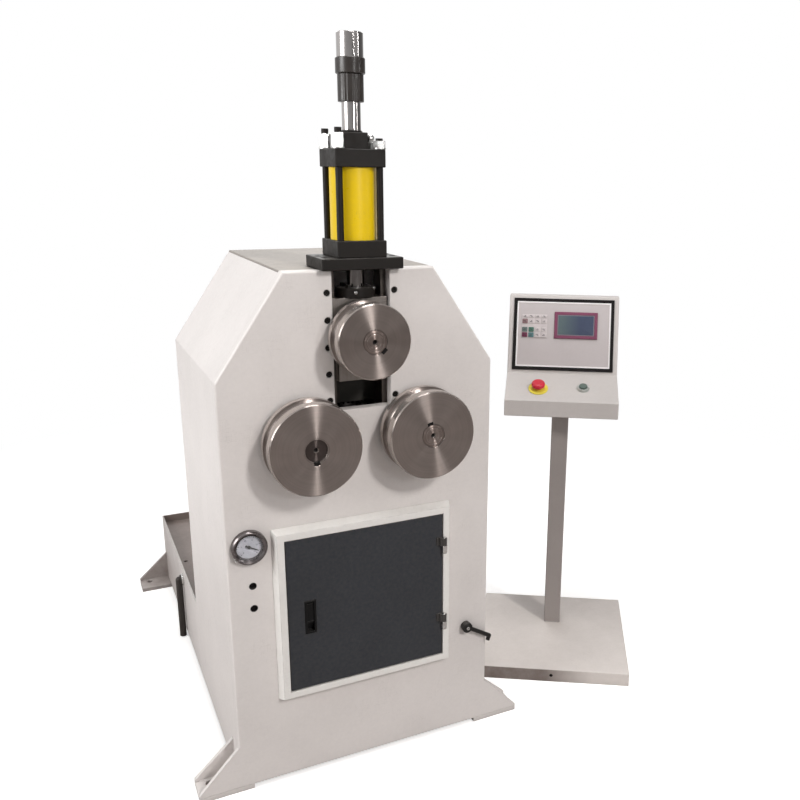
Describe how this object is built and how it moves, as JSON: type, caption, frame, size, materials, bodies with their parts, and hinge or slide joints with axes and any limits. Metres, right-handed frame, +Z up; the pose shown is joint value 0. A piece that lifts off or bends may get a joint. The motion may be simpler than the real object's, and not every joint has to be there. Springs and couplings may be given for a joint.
{
  "type": "pipe rolling machine",
  "caption": "Upright pipe rolling machine: a steel cabinet with grooved rollers on its front, a hydraulic ram over them, and an operator's desk beside it.",
  "frame": {"origin": "on the floor, at the centre of the four anchor bolt holes in the cabinet's feet", "axes": "+Z up, -Y out of the front that carries the rollers, +X to the operator's right"},
  "size_m": [1.4302, 1.34, 1.7065],
  "materials": {
    "cabinet_paint": "semi-gloss pale warm grey paint",
    "door_paint": "satin slate paint",
    "hinge_dark": "dark steel",
    "roller_steel": "turned steel with a thin oil film",
    "shaft_steel": "turned steel",
    "ground_steel": "ground steel",
    "gear_steel": "hobbed steel with grease",
    "bearing_steel": "polished bearing steel",
    "black_oxide": "black oxide",
    "lever_black": "black enamel",
    "cylinder_yellow": "gloss yellow paint",
    "chrome": "hard chrome",
    "zinc": "bright zinc plate",
    "dial_grey": "matt pale dial",
    "needle_black": "matt black",
    "latch_black": "moulded black",
    "conduit_black": "ribbed black plastic",
    "valve_brass": "machined brass",
    "motor_paint": "blue-grey machine paint",
    "tank_paint": "grey paint",
    "desk_paint": "textured pale warm grey powder coat",
    "post_paint": "grey powder coat",
    "gasket_black": "black rubber",
    "fascia_white": "satin white",
    "keypad_grey": "membrane keys",
    "screen_maroon": "gloss moulding with a dark display",
    "estop_yellow": "gloss yellow",
    "estop_red": "gloss red",
    "start_bezel": "grey moulding",
    "start_green": "gloss green"
  },
  "bodies": {
    "cabinet": {"front_plate": "cabinet_paint", "left_side": "cabinet_paint", "right_side": "cabinet_paint", "top_cover": "cabinet_paint", "rear_wall": "cabinet_paint", "base_deck": "cabinet_paint", "foot_brackets": "cabinet_paint", "bearing_plate": "ground_steel", "lower_bearings": "bearing_steel", "slide_gibs": "ground_steel", "cap_screws": "black_oxide", "cylinder_flange": "black_oxide", "lower_cap": "black_oxide", "barrel": "cylinder_yellow", "upper_cap": "black_oxide", "rod_gland": "black_oxide", "tie_rods": "black_oxide", "tie_nuts": "zinc", "port_fittings": "zinc", "door_frame": "cabinet_paint", "hinge_pins": "zinc", "gauge_case": "chrome", "gauge_dial": "dial_grey", "valve_body": "valve_brass", "conduit": "conduit_black", "gear_motor": "motor_paint", "oil_tank": "tank_paint", "pump_motor": "motor_paint", "console_slab": "desk_paint", "console_post": "post_paint", "desk_shell": "desk_paint", "gasket_frame": "gasket_black", "fascia": "fascia_white", "keypad": "keypad_grey", "screen": "screen_maroon", "estop_ring": "estop_yellow", "start_bezel": "start_bezel"},
    "ram": {"piston_rod": "chrome", "stop_collar": "black_oxide", "top_sleeve": "chrome", "rod_flange": "black_oxide", "slide_block": "ground_steel", "top_bearings": "bearing_steel"},
    "top_roller_set": {"top_roller": "roller_steel", "top_shaft": "shaft_steel"},
    "left_roller_set": {"left_roller": "roller_steel", "left_shaft": "shaft_steel", "left_gear": "gear_steel"},
    "right_roller_set": {"right_roller": "roller_steel", "right_shaft": "shaft_steel", "right_gear": "gear_steel"},
    "pinion": {"drive_pinion": "gear_steel"},
    "door": {"door_panel": "door_paint", "hinge_leaves": "hinge_dark", "latch_cup": "latch_black"},
    "latch": {"latch_paddle": "latch_black"},
    "lever": {"valve_lever": "lever_black"},
    "needle": {"gauge_needle": "needle_black"},
    "estop": {"estop_button": "estop_red"},
    "start": {"start_button": "start_green"}
  },
  "joints": [
    {"name": "ram_slide", "type": "slide", "parent": "cabinet", "child": "ram", "axis": [0, 0, 1], "range_m": [-0.055, 0.034]},
    {"name": "top_roller_spin", "type": "hinge", "parent": "ram", "child": "top_roller_set", "pos_m": [0, -0.6275, 1.0775], "axis": [0, 1, 0], "continuous": true},
    {"name": "left_roller_spin", "type": "hinge", "parent": "cabinet", "child": "left_roller_set", "pos_m": [-0.136, -0.6275, 0.852], "axis": [0, 1, 0], "continuous": true},
    {"name": "right_roller_spin", "type": "hinge", "parent": "cabinet", "child": "right_roller_set", "pos_m": [0.136, -0.6275, 0.852], "axis": [0, 1, 0], "continuous": true},
    {"name": "pinion_spin", "type": "hinge", "parent": "cabinet", "child": "pinion", "pos_m": [0, -0.6275, 0.852], "axis": [0, 1, 0], "continuous": true},
    {"name": "door_hinge", "type": "hinge", "parent": "cabinet", "child": "door", "pos_m": [0.19, -0.6578, 0.44], "axis": [0, 0, 1], "range_deg": [0, 110]},
    {"name": "latch_pull", "type": "hinge", "parent": "door", "child": "latch", "pos_m": [-0.147, -0.6465, 0.46], "axis": [-1, 0, 0], "range_deg": [0, 40], "stiffness_Nm_per_rad": 0.05, "springref_deg": -11.46},
    {"name": "lever_turn", "type": "hinge", "parent": "cabinet", "child": "lever", "pos_m": [0.264, -0.6275, 0.297], "axis": [0, -1, 0], "range_deg": [0, 90]},
    {"name": "needle_turn", "type": "hinge", "parent": "cabinet", "child": "needle", "pos_m": [-0.274, -0.6275, 0.6235], "axis": [0, 1, 0], "range_deg": [-252.5, 17.5]},
    {"name": "estop_press", "type": "slide", "parent": "cabinet", "child": "estop", "axis": [0.2069, 0.331, -0.9207], "range_m": [0, 0.005], "stiffness_N_per_m": 800, "springref_m": -0.003},
    {"name": "start_press", "type": "slide", "parent": "cabinet", "child": "start", "axis": [0.2069, 0.331, -0.9207], "range_m": [0, 0.004], "stiffness_N_per_m": 600, "springref_m": -0.003}
  ],
  "couplings": [
    {"joint": "right_roller_spin", "follows": "left_roller_spin", "ratio": 1},
    {"joint": "pinion_spin", "follows": "left_roller_spin", "ratio": -1.8333}
  ]
}
